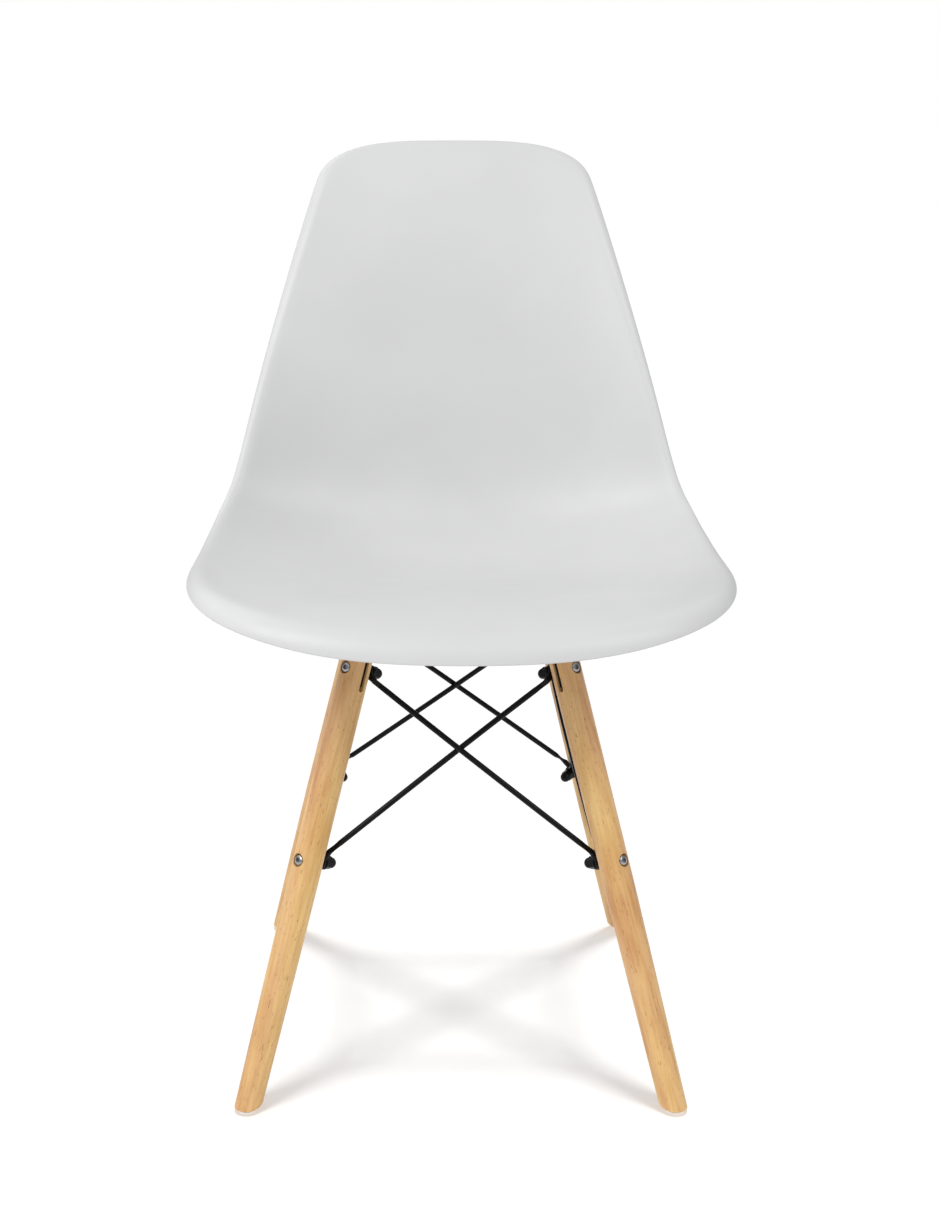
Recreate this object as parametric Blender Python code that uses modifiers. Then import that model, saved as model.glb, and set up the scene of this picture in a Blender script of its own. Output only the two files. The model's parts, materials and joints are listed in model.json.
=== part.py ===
"""A side chair: a one-piece moulded shell on four splayed beech legs, tied by crossed steel rods.

Metres, +Z up, with the front of the chair towards -Y. The origin is on the floor, under the middle
of the chair's overall box. Left and right are those of a person who faces the front of the chair.
"""

import math

import bmesh
import bpy
import numpy as np
from mathutils import Matrix, Vector

TOUCH = 0.0003  # gap between pieces that bear on each other
OVERCUT = 0.002  # how far a cutter runs past the face that it starts from
CUT_REACH = 0.020  # half length of a cutter that passes right through a leg or a bar
MERGE = 0.00002
SMOOTH_ANGLE = math.radians(35)  # sharper edges than this are shaded as edges
LEG_SIDES, ROUND_SIDES, ROD_SIDES = 16, 12, 8

# Seat shell, front edge first. The middle line is a cubic B-spline with few controls: (y, z).
SHELL_LINE = (
    (-0.265, 0.415),  # front edge
    (-0.215, 0.435),  # crest under the knees
    (-0.120, 0.430),
    (-0.020, 0.412),  # lowest part of the seat
    (0.080, 0.415),
    (0.135, 0.465),  # bend between seat and back
    (0.150, 0.555),
    (0.175, 0.665),
    (0.215, 0.775),
    (0.248, 0.820),
    (0.258, 0.825),  # top edge
)
# The sides stand above the middle line: most at the bend, and hardly at all at the two ends.
SIDE_RISE = 0.062  # at the bend, SHELL_REACH away from the middle
RISE_PEAK = 0.400  # the bend's distance from the front edge, along the middle
RISE_SEAT, RISE_BACK = 0.235, 0.290  # how far the rise spreads over the seat and up the back
SHELL_REACH = 0.235  # half width at which the sides reach their full rise
SHELL_DISH = 2.6  # power of the rise across the shell: flat in the middle, steep at the sides
SHELL_WALL = 0.005
# The outline laid flat: superellipse corners at both ends of sides that taper towards the top.
SEAT_HALF_WIDTH = 0.240
TAPER_START, TAPER_EASE = 0.390, 0.130  # along the middle: where the taper begins, and how softly
TAPER = 0.275  # half width lost per metre up the back
FRONT_CORNER, FRONT_POWER = 0.200, 2.6
TOP_CORNER, TOP_POWER = 0.060, 2.7
# The rim rolls outwards on these radii, through these degrees, evenly spaced from front to top.
RIM_RADII = (0.028, 0.026, 0.015, 0.015, 0.015, 0.015)
RIM_TURN = (62, 62, 62, 62, 60, 45)
RIM_EASE = 0.0014  # rounding of the rim's two edges
RIM_EASE_ANGLE = math.radians(60)  # edges sharper than this are rounded
SPINE_START, SPINE_END = 0.20, 0.735  # stretch of the middle that the shell's ribs start from
LINE_STEPS = 40  # samples per control along the middle
SHELL_RIBS = 48  # evenly spaced along half of the outline
OUTLINE_SAMPLES = 200  # points on each stretch of the outline, before it is spaced evenly
DISH_RINGS, RIM_RINGS = 6, 3

# Base: four legs that lean inwards along the diagonals.
BASE_Y = -0.033
FOOT_SPREAD = 0.181  # each leg's axis to the base's middle planes, at the floor
TOP_SPREAD = 0.0805  # the same, at SPREAD_HEIGHT
SPREAD_HEIGHT = 0.400
LEAN = math.atan(math.sqrt(2) * (FOOT_SPREAD - TOP_SPREAD) / SPREAD_HEIGHT)

LEG_TOP = 0.383 / math.cos(LEAN)  # distances up the leg's axis from the floor
UPPER_BOLT = 0.3622 / math.cos(LEAN)
LOWER_BOLT = 0.204 / math.cos(LEAN)
LEG_RADIUS = 0.013
FOOT_RADIUS = 0.0112
TAPER_END = 0.200
LEG_CHAMFER = 0.0012
LEG_STOCK_END = -0.010  # lower end of the turned leg, before its foot is sawn level
FOOT_CUT = 0.003  # height of the leg's level end above the floor
FOOT_FLAT_RADIUS = 0.0096
SAW_RADIUS = 0.030
SAW_FLARE = 0.010  # rise and run of the foot's chamfer
KERF_WIDTH = 0.0046
KERF_DEPTH = 0.040
COUNTERBORE_RADIUS = 0.0058
COUNTERBORE_DEPTH = 0.0045
BOLT_RADIUS = 0.003
BOLT_HOLE_RADIUS = 0.0033

GLIDE_RADIUS = 0.0070
GLIDE_FLAT_RADIUS = 0.0052
GLIDE_EDGE_HEIGHT = 0.0010
GLIDE_PIN_RADIUS = 0.0018
GLIDE_PIN_TOP = 0.016
GLIDE_POINT = 0.002  # length of the pin's tapered tip

# Crossed flat bars under the seat, whose ends turn down into the legs' kerfs.
BAR_WIDTH = 0.022
BAR_THICKNESS = 0.004
BAR_TOP = 0.3964
BAR_BEND = 0.007  # radius of the bend, at the middle of the bar's thickness
BAR_BEND_STEPS = 6
BAR_CROSSING = BAR_THICKNESS + TOUCH  # how far the lower bar is cranked down at the middle
CRANK_FLAT, CRANK_END = 0.017, 0.028
TONGUE_END = LEG_TOP - KERF_DEPTH + 0.004

# Seat fixings: screw, rubber washer and threaded insert at each of four moulded bosses.
FIXING_SPREAD = 0.055  # each boss to the base's middle planes
WASHER_RADIUS = 0.011
WASHER_HEIGHT = 0.003
BOSS_FACE = BAR_TOP + TOUCH + WASHER_HEIGHT + TOUCH
BOSS_RADIUS = 0.012
INSERT_RADIUS = 0.0045
INSERT_LENGTH = 0.0080
INSERT_HOLE_DEPTH = 0.0085
SCREW_LENGTH = 0.0145
SCREW_HEAD_RADIUS = 0.0052
SCREW_HEAD_HEIGHT = 0.0034
SOCKET_RADIUS = 0.0023  # to the corners of the hexagon socket
SOCKET_DEPTH = 0.0020

# Braces: rods with flattened, drilled ends, stacked in pairs on each leg bolt.
ROD_RADIUS = 0.0025
EYE_RADIUS = 0.0064
EYE_HALF_THICKNESS = 0.0015
EYE_HOLE_RADIUS = 0.0033
EYE_ANGLES = (168, 140, 112, 90, 60)  # sections round the eye, in degrees from its neck
NECK_MIDDLE = 0.0106  # from the hole to the middle of the neck
NECK_LENGTH = 0.0125  # from the hole to where the rod is round
NECK_WIDE, NECK_THIN = 1.25, 0.70  # section at the middle of the neck, as shares of the rod's
NECK_BEND = 0.0016  # how far the rod starts off the flat of its eye
ROD_BOW = ROD_RADIUS + 0.5 * TOUCH  # how far each rod of a pair stands off at the crossing

LEG_BOLT_HEAD_RADIUS = 0.0050
LEG_BOLT_HEAD_HEIGHT = 0.0036
NUT_HEX_RADIUS = 0.0058  # to the corners
NUT_HEX_HEIGHT = 0.0060
NUT_DOME_RADIUS = 0.0048
NUT_DOME_BASE = 0.0070  # height of the dome's widest ring
NUT_DOME_STEPS = 3
NUT_BORE_DEPTH = 0.0090
BOLT_END_GAP = 0.001  # between a leg bolt's tip and the end of its nut's bore

SIDES = {
    "front_left": (-1, -1),
    "front_right": (1, -1),
    "back_left": (-1, 1),
    "back_right": (1, 1),
}


# ---------------------------------------------------------------- scene helpers


def clear_scene():
    for obj in list(bpy.data.objects):
        bpy.data.objects.remove(obj, do_unlink=True)


def new_collection(name):
    made = bpy.data.collections.new(name)
    bpy.context.scene.collection.children.link(made)
    return made


def material(name, colour, roughness, metallic=0.0):
    made = bpy.data.materials.new(name)
    made.use_nodes = True
    made.diffuse_color = (*colour, 1.0)
    shader = made.node_tree.nodes["Principled BSDF"]
    shader.inputs["Base Color"].default_value = (*colour, 1.0)
    shader.inputs["Roughness"].default_value = roughness
    shader.inputs["Metallic"].default_value = metallic
    return made


def helper(name, mesh, frame=Matrix()):
    """A cutter or a template: it is never part of the chair."""
    made = bpy.data.objects.new(name, mesh)
    made.matrix_world = frame
    made.hide_render = True
    made.display_type = "WIRE"
    HELPERS.objects.link(made)
    return made


def piece(name, mesh, finish, frame=Matrix()):
    if not mesh.materials:
        mesh.materials.append(finish)
    made = bpy.data.objects.new(name, mesh)
    made.matrix_world = frame
    CHAIR.objects.link(made)
    return made


def boolean(obj, operation, other):
    modifier = obj.modifiers.new(f"{operation.lower()} {other.name}", "BOOLEAN")
    modifier.operation = operation
    modifier.object = other


def baked(template):
    """A mesh with the template's modifiers applied, shaded smooth apart from its sharp edges."""
    bpy.context.view_layer.update()
    graph = bpy.context.evaluated_depsgraph_get()
    mesh = bpy.data.meshes.new_from_object(template.evaluated_get(graph))
    mesh.name = template.name
    mesh.shade_smooth()
    mesh.set_sharp_from_angle(angle=SMOOTH_ANGLE)
    used = [modifier.object for modifier in template.modifiers if modifier.type == "BOOLEAN"]
    for obj in (template, *used):
        bpy.data.objects.remove(obj)
    return mesh


# ---------------------------------------------------------------- mesh helpers


def cylinder_mesh(radius, low, high, sides=ROUND_SIDES):
    """A cylinder along Z, from height low to height high."""
    mesh = bpy.data.meshes.new("cylinder")
    bm = bmesh.new()
    bmesh.ops.create_cone(
        bm,
        cap_ends=True,
        segments=sides,
        radius1=radius,
        radius2=radius,
        depth=high - low,
        matrix=Matrix.Translation((0, 0, (low + high) / 2)),
    )
    bm.to_mesh(mesh)
    bm.free()
    return mesh


def box_mesh(low, high):
    low, high = Vector(low), Vector(high)
    mesh = bpy.data.meshes.new("box")
    bm = bmesh.new()
    scale = Matrix.Diagonal((*(high - low), 1))
    bmesh.ops.create_cube(bm, size=1, matrix=Matrix.Translation((low + high) / 2) @ scale)
    bm.to_mesh(mesh)
    bm.free()
    return mesh


def turned(name, profile, steps=ROUND_SIDES):
    """A template turned about Z from a profile of (radius, height), which runs from top to bottom."""
    mesh = bpy.data.meshes.new(name)
    edges = [(i, i + 1) for i in range(len(profile) - 1)]
    mesh.from_pydata([(radius, 0, height) for radius, height in profile], edges, [])
    made = helper(name, mesh)
    screw = made.modifiers.new("turn", "SCREW")
    screw.steps = screw.render_steps = steps
    screw.use_merge_vertices = True
    screw.merge_threshold = MERGE
    return made


def along_x(distance=0.0, height=0.0):
    """A frame whose +Z lies along +X, at a distance along X and a height."""
    return Matrix.Translation((distance, 0, height)) @ Matrix.Rotation(math.pi / 2, 4, "Y")


# ---------------------------------------------------------------- seat shell


def b_spline(controls, per_span):
    """Points on a uniform cubic B-spline that starts and ends at its end controls."""
    controls = np.array(controls, float)
    before, after = 2 * controls[0] - controls[1], 2 * controls[-1] - controls[-2]
    controls = np.vstack([before, controls, after])
    spans = len(controls) - 3
    at = np.linspace(0, spans, spans * per_span + 1)
    first = np.minimum(at.astype(int), spans - 1)
    f = (at - first)[:, None]
    a, b, c, d = (controls[first + k] for k in range(4))
    weights = (1 - f) ** 3, 3 * f**3 - 6 * f**2 + 4, -3 * f**3 + 3 * f**2 + 3 * f + 1, f**3
    return (weights[0] * a + weights[1] * b + weights[2] * c + weights[3] * d) / 6


class ShellSurface:
    """The sitting side of the shell, as a function of distance along the middle and across it."""

    def __init__(self):
        line = b_spline(SHELL_LINE, LINE_STEPS)
        steps = np.hypot(*np.diff(line, axis=0).T)
        self.along = np.concatenate([[0], np.cumsum(steps)])
        slope = np.gradient(line, self.along, axis=0)
        slope /= np.linalg.norm(slope, axis=1)[:, None]
        spread = np.where(self.along < RISE_PEAK, RISE_SEAT, RISE_BACK)
        rise = SIDE_RISE * np.exp(-(((self.along - RISE_PEAK) / spread) ** 2))
        self.line = np.column_stack([line, rise, -slope[:, 1], slope[:, 0]])

    def point(self, along, across, drop=0.0):
        y, z, rise, normal_y, normal_z = (np.interp(along, self.along, c) for c in self.line.T)
        lift = rise * np.abs(across / SHELL_REACH) ** SHELL_DISH - drop
        return np.stack([across + 0 * y, y + normal_y * lift, z + normal_z * lift], axis=-1)

    def seat_height(self, x, y):
        """Height of the sitting surface near a point of the seat."""
        along = np.interp(y, self.line[:, 0], self.along)
        return float(self.point(along, x)[2])


def shell_outline(length):
    """Half of the outline laid flat, as (distance along the middle, half width), evenly spaced."""
    turn = np.linspace(0, math.pi / 2, OUTLINE_SAMPLES)
    rise, fall = np.sin(turn), np.cos(turn)
    front = FRONT_CORNER * (1 - fall ** (2 / FRONT_POWER))
    top = length - TOP_CORNER * (1 - rise ** (2 / TOP_POWER))
    along = np.concatenate([front, np.linspace(front[-1], top[0], OUTLINE_SAMPLES), top])
    straight = np.ones(OUTLINE_SAMPLES)
    share = np.concatenate([rise ** (2 / FRONT_POWER), straight, fall ** (2 / TOP_POWER)])
    past = along - TAPER_START
    across = share * (SEAT_HALF_WIDTH - TAPER * (past + np.hypot(past, TAPER_EASE)) / 2)
    run = np.concatenate([[0], np.cumsum(np.hypot(np.diff(along), np.diff(across)))])
    even = np.linspace(0, run[-1], SHELL_RIBS + 1)
    outline = np.column_stack([np.interp(even, run, along), np.interp(even, run, across)])
    outline[[0, -1], 1] = 0
    return outline


def shell_half(surface):
    """The right half of the sitting side: ribs from the middle to the outline, and rings across."""
    outline = shell_outline(surface.along[-1])
    q = np.linspace(0, 1, len(outline))
    turn = np.radians(np.interp(q, np.linspace(0, 1, len(RIM_TURN)), RIM_TURN))
    radius = np.interp(q, np.linspace(0, 1, len(RIM_RADII)), RIM_RADII)
    spine = SPINE_START + (SPINE_END - SPINE_START) * outline[:, 0] / surface.along[-1]
    reach = np.hypot(outline[:, 0] - spine, outline[:, 1])
    rows = []
    for ring in range(DISH_RINGS + RIM_RINGS + 1):
        rolled = max(ring - DISH_RINGS, 0) / RIM_RINGS * turn
        edge = radius * (np.sin(turn) - np.sin(rolled))
        inner = min(ring / DISH_RINGS, 1)
        share = inner * (1 - edge / reach)
        along = spine + (outline[:, 0] - spine) * share
        rows.append(surface.point(along, outline[:, 1] * share, radius * (1 - np.cos(rolled))))
    points = np.concatenate(rows)
    ribs = len(outline)
    faces = [
        (a, a + ribs, a + ribs + 1, a + 1)
        for a in (row * ribs + rib for row in range(len(rows) - 1) for rib in range(ribs - 1))
    ]
    return points, faces


def make_seat_shell(finish):
    surface = ShellSurface()
    points, faces = shell_half(surface)
    mesh = bpy.data.meshes.new("seat_shell")
    mesh.from_pydata(points.tolist(), [], faces)
    shell = piece("seat_shell", mesh, finish)
    mirror = shell.modifiers.new("other half", "MIRROR")
    mirror.merge_threshold = MERGE
    wall = shell.modifiers.new("wall", "SOLIDIFY")
    wall.thickness = SHELL_WALL
    wall.offset = -1
    wall.use_even_offset = True
    ease = shell.modifiers.new("rim edges", "BEVEL")
    ease.width = RIM_EASE
    ease.segments = 1
    ease.limit_method = "ANGLE"
    ease.angle_limit = RIM_EASE_ANGLE
    for where, (side_x, side_y) in SIDES.items():
        x, y = side_x * FIXING_SPREAD, BASE_Y + side_y * FIXING_SPREAD
        middle = Matrix.Translation((x, y, 0))
        top = surface.seat_height(x, y) - SHELL_WALL / 2
        boss = cylinder_mesh(BOSS_RADIUS, BOSS_FACE, top)
        boolean(shell, "UNION", helper(f"boss_{where}", boss, middle))
        low, high = BOSS_FACE - OVERCUT, BOSS_FACE + INSERT_HOLE_DEPTH
        hole = cylinder_mesh(INSERT_RADIUS + TOUCH, low, high)
        boolean(shell, "DIFFERENCE", helper(f"insert_hole_{where}", hole, middle))


# ---------------------------------------------------------------- legs and glides


def leg_frame(side_x, side_y):
    """+Z runs up the leg's axis from the floor, and +X points outwards across it."""
    out = Vector((side_x, side_y, 0)).normalized()
    up = Vector((0, 0, math.cos(LEAN))) - out * math.sin(LEAN)
    across = Vector((0, 0, math.sin(LEAN))) + out * math.cos(LEAN)
    frame = Matrix((across, up.cross(across), up)).transposed().to_4x4()
    frame.translation = (side_x * FOOT_SPREAD, BASE_Y + side_y * FOOT_SPREAD, 0)
    return frame


def leg_mesh():
    """One leg in its own frame, sawn and drilled."""
    leg = turned(
        "leg",
        (
            (0, LEG_TOP),
            (LEG_RADIUS - LEG_CHAMFER, LEG_TOP),
            (LEG_RADIUS, LEG_TOP - LEG_CHAMFER),
            (LEG_RADIUS, TAPER_END),
            ((2 * LEG_RADIUS + FOOT_RADIUS) / 3, 0.6 * TAPER_END),
            (FOOT_RADIUS, LEG_STOCK_END),
            (0, LEG_STOCK_END),
        ),
        LEG_SIDES,
    )
    kerf_low = LEG_TOP - KERF_DEPTH
    half = KERF_WIDTH / 2
    kerf = box_mesh((-half, -CUT_REACH, kerf_low + half), (half, CUT_REACH, LEG_TOP + OVERCUT))
    boolean(leg, "DIFFERENCE", helper("kerf", kerf))
    across = Matrix.Translation((0, 0, kerf_low + half)) @ Matrix.Rotation(math.pi / 2, 4, "X")
    kerf_end = cylinder_mesh(half, -CUT_REACH, CUT_REACH)
    boolean(leg, "DIFFERENCE", helper("kerf_end", kerf_end, across))
    for name, height in (("upper", UPPER_BOLT), ("lower", LOWER_BOLT)):
        hole = cylinder_mesh(BOLT_HOLE_RADIUS, -CUT_REACH, CUT_REACH)
        boolean(leg, "DIFFERENCE", helper(f"{name}_hole", hole, along_x(height=height)))
        sink = cylinder_mesh(COUNTERBORE_RADIUS, LEG_RADIUS - COUNTERBORE_DEPTH, CUT_REACH, LEG_SIDES)
        boolean(leg, "DIFFERENCE", helper(f"{name}_counterbore", sink, along_x(height=height)))
    # The foot is sawn level with the floor, which is tilted in the leg's own frame.
    level = Matrix.Rotation(LEAN, 4, "Y")
    saw = turned(
        "foot_saw",
        (
            (FOOT_FLAT_RADIUS + SAW_FLARE, FOOT_CUT + SAW_FLARE),
            (SAW_RADIUS, FOOT_CUT + SAW_FLARE),
            (SAW_RADIUS, -SAW_RADIUS),
            (0, -SAW_RADIUS),
            (0, FOOT_CUT),
            (FOOT_FLAT_RADIUS, FOOT_CUT),
            (FOOT_FLAT_RADIUS + SAW_FLARE, FOOT_CUT + SAW_FLARE),
        ),
        LEG_SIDES,
    )
    saw.matrix_world = level
    boolean(leg, "DIFFERENCE", saw)
    socket = cylinder_mesh(GLIDE_PIN_RADIUS + TOUCH, -OVERCUT, GLIDE_PIN_TOP + TOUCH)
    boolean(leg, "DIFFERENCE", helper("pin_socket", socket, level))
    return baked(leg)


def glide_mesh():
    top = FOOT_CUT - TOUCH
    return baked(
        turned(
            "glide",
            (
                (0, GLIDE_PIN_TOP),
                (GLIDE_PIN_RADIUS, GLIDE_PIN_TOP - GLIDE_POINT),
                (GLIDE_PIN_RADIUS, top),
                (GLIDE_RADIUS, top),
                (GLIDE_RADIUS, GLIDE_EDGE_HEIGHT),
                (GLIDE_FLAT_RADIUS, 0),
                (0, 0),
            ),
        )
    )


# ---------------------------------------------------------------- crossed bars under the seat


def bar_path(crank):
    """Half of a bar's middle line, as (distance from the chair's axis, height), middle first."""
    level = BAR_TOP - BAR_THICKNESS / 2
    low = level - crank
    foot = math.sqrt(2) * FOOT_SPREAD
    corner = foot - level * math.tan(LEAN)
    turn = math.pi / 2 - LEAN
    setback = BAR_BEND * math.tan(turn / 2)
    path = [(0, low), (CRANK_FLAT, low), (CRANK_END, level)] if crank else [(0, level)]
    for step in range(BAR_BEND_STEPS + 1):
        angle = turn * step / BAR_BEND_STEPS
        path.append(
            (corner - setback + BAR_BEND * math.sin(angle), level - BAR_BEND * (1 - math.cos(angle)))
        )
    path.append((foot - TONGUE_END * math.sin(LEAN), TONGUE_END * math.cos(LEAN)))
    return path


def make_bar(name, side_x, side_y, crank, finish):
    """A bar from the leg on the given side of both middle planes to the leg opposite."""
    half = bar_path(crank)
    path = [(-r, z) for r, z in reversed(half[1:])] + half
    width = BAR_WIDTH / 2
    mesh = bpy.data.meshes.new(name)
    points = [(r, side * width, z) for side in (-1, 1) for r, z in path]
    count = len(path)
    faces = [(i, i + 1, i + 1 + count, i + count) for i in range(count - 1)]
    mesh.from_pydata(points, [], faces)
    turned_by = Matrix.Rotation(math.atan2(side_y, side_x), 4, "Z")
    frame = Matrix.Translation((0, BASE_Y, 0)) @ turned_by
    bar = piece(name, mesh, finish, frame)
    thick = bar.modifiers.new("thickness", "SOLIDIFY")
    thick.thickness = BAR_THICKNESS
    thick.offset = 0
    thick.use_even_offset = True
    fixing = math.sqrt(2) * FIXING_SPREAD
    for label, at in (("left", -fixing), ("middle", 0), ("right", fixing)):
        hole = cylinder_mesh(BOLT_HOLE_RADIUS, BAR_TOP - CUT_REACH, BAR_TOP + CUT_REACH)
        cutter = helper(f"{name}_{label}_hole", hole, frame @ Matrix.Translation((at, 0, 0)))
        boolean(bar, "DIFFERENCE", cutter)
    for end in (-1, 1):
        leg = leg_frame(end * side_x, end * side_y)
        hole = cylinder_mesh(BOLT_HOLE_RADIUS, -CUT_REACH, CUT_REACH)
        cutter = helper(f"{name}_tongue_hole_{end}", hole, leg @ along_x(height=UPPER_BOLT))
        boolean(bar, "DIFFERENCE", cutter)


# ---------------------------------------------------------------- fasteners


def socket_screw_mesh(name, head_radius, head_height, length):
    """A round-headed screw with a hexagon socket: head below Z = 0, shank above."""
    screw = turned(
        name,
        (
            (0, length),
            (BOLT_RADIUS, length),
            (BOLT_RADIUS, 0),
            (head_radius, 0),
            (head_radius, -0.5 * head_height),
            (0.7 * head_radius, -head_height),
            (0, -head_height),
        ),
    )
    socket = cylinder_mesh(SOCKET_RADIUS, -head_height - OVERCUT, SOCKET_DEPTH - head_height, 6)
    boolean(screw, "DIFFERENCE", helper("socket", socket))
    return baked(screw)


def ring_mesh(name, radius, bore, height):
    """A washer or bush standing on Z = 0."""
    corners = ((bore, height), (radius, height), (radius, 0), (bore, 0), (bore, height))
    return baked(turned(name, corners))


def hex_nut_mesh():
    nut = helper("hex_nut", cylinder_mesh(NUT_HEX_RADIUS, 0, NUT_HEX_HEIGHT, 6))
    bore = cylinder_mesh(BOLT_HOLE_RADIUS, -OVERCUT, NUT_HEX_HEIGHT + OVERCUT)
    boolean(nut, "DIFFERENCE", helper("bore", bore))
    return baked(nut)


def cap_nut_mesh():
    """A domed cap nut: its bearing face is at Z = 0 and its dome points along +Z."""
    nut = helper("cap_nut", cylinder_mesh(NUT_HEX_RADIUS, 0, NUT_HEX_HEIGHT, 6))
    arc = [
        (NUT_DOME_RADIUS * math.sin(a), NUT_DOME_BASE + NUT_DOME_RADIUS * math.cos(a))
        for a in (math.pi / 2 * k / NUT_DOME_STEPS for k in range(NUT_DOME_STEPS + 1))
    ]
    root = NUT_HEX_HEIGHT / 2
    boolean(nut, "UNION", turned("dome", [*arc, (NUT_DOME_RADIUS, root), (0, root)]))
    bore = cylinder_mesh(BOLT_HOLE_RADIUS, -OVERCUT, NUT_BORE_DEPTH)
    boolean(nut, "DIFFERENCE", helper("bore", bore))
    return baked(nut)


# ---------------------------------------------------------------- brace rods


def eye_sections(frame, height, layer, aim):
    """Sections of a rod's flattened end, from its tip to where the rod is round.

    Each is (middle, direction, width direction, half width, half thickness). The eye lies flat
    across the leg bolt at the given height, and points as nearly at aim as it can.
    """
    inner = LEG_RADIUS + TOUCH + EYE_HALF_THICKNESS + layer * (2 * EYE_HALF_THICKNESS + TOUCH)
    centre = frame @ Vector((-inner, 0, height))
    flat = (frame.to_3x3() @ Vector((-1, 0, 0))).normalized()
    heading = aim - centre
    heading = (heading - flat * heading.dot(flat)).normalized()
    width = flat.cross(heading)
    sections = []
    for angle in EYE_ANGLES:
        reach = EYE_RADIUS * math.cos(math.radians(angle))
        half = EYE_RADIUS * math.sin(math.radians(angle))
        sections.append((centre + heading * reach, heading, width, half, EYE_HALF_THICKNESS))
    neck = centre + heading * NECK_MIDDLE
    sections.append((neck, heading, width, NECK_WIDE * ROD_RADIUS, NECK_THIN * ROD_RADIUS))
    end = centre + heading * NECK_LENGTH + flat * NECK_BEND
    return sections, end, width


def rod_sections(upper, lower, layer, bow):
    """All sections of one rod, from its eye on the upper bolt of one leg to the lower of the next."""
    upper_frame, lower_frame = leg_frame(*upper), leg_frame(*lower)
    inset = Vector((-LEG_RADIUS, 0, 0))
    aims = (
        lower_frame @ (inset + Vector((0, 0, LOWER_BOLT))),
        upper_frame @ (inset + Vector((0, 0, UPPER_BOLT))),
    )
    first, start, start_width = eye_sections(upper_frame, UPPER_BOLT, layer, aims[0])
    last, end, end_width = eye_sections(lower_frame, LOWER_BOLT, layer, aims[1])
    outwards = Vector(((upper[0] + lower[0]) / 2, (upper[1] + lower[1]) / 2, 0))
    straight = (end - start).normalized()
    sideways = Vector((0, 0, 1)).cross(outwards)
    base = Vector((0, BASE_Y, 0))
    from_upper, from_lower = (abs((point - base).dot(sideways)) for point in (start, end))
    crossing = from_upper / (from_upper + from_lower)
    sections = []
    for share in (0.0, crossing / 2, crossing, (1 + crossing) / 2, 1.0):
        to_crossing = min(share / crossing, (1 - share) / (1 - crossing))
        bowed = outwards * bow * math.sin(math.pi / 2 * to_crossing)
        width = start_width.lerp(-end_width, share)
        width = (width - straight * width.dot(straight)).normalized()
        sections.append((start.lerp(end, share) + bowed, straight, width, ROD_RADIUS, ROD_RADIUS))
    back = [(at, -heading, -width, a, b) for at, heading, width, a, b in reversed(last)]
    return [*first, *sections, *back]


def make_brace(name, upper, lower, layer, bow, finish):
    sides = ROD_SIDES
    points, faces = [], []
    sections = rod_sections(upper, lower, layer, bow)
    for at, heading, width, half_width, half_thickness in sections:
        depth = heading.cross(width).normalized()
        for side in range(sides):
            angle = 2 * math.pi * (side + 0.5) / sides
            points.append(
                at + width * half_width * math.cos(angle) + depth * half_thickness * math.sin(angle)
            )
    for ring in range(len(sections) - 1):
        for side in range(sides):
            a, b = ring * sides + side, ring * sides + (side + 1) % sides
            faces.append((a, b, b + sides, a + sides))
    faces.append(tuple(reversed(range(sides))))
    faces.append(tuple(range(len(points) - sides, len(points))))
    mesh = bpy.data.meshes.new(name)
    mesh.from_pydata(points, [], faces)
    brace = piece(name, mesh, finish)
    for end, leg, height in (("upper", upper, UPPER_BOLT), ("lower", lower, LOWER_BOLT)):
        hole = cylinder_mesh(EYE_HOLE_RADIUS, -CUT_REACH, 0)
        cutter = helper(f"{name}_{end}_hole", hole, leg_frame(*leg) @ along_x(height=height))
        boolean(brace, "DIFFERENCE", cutter)


# ---------------------------------------------------------------- the chair


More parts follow.
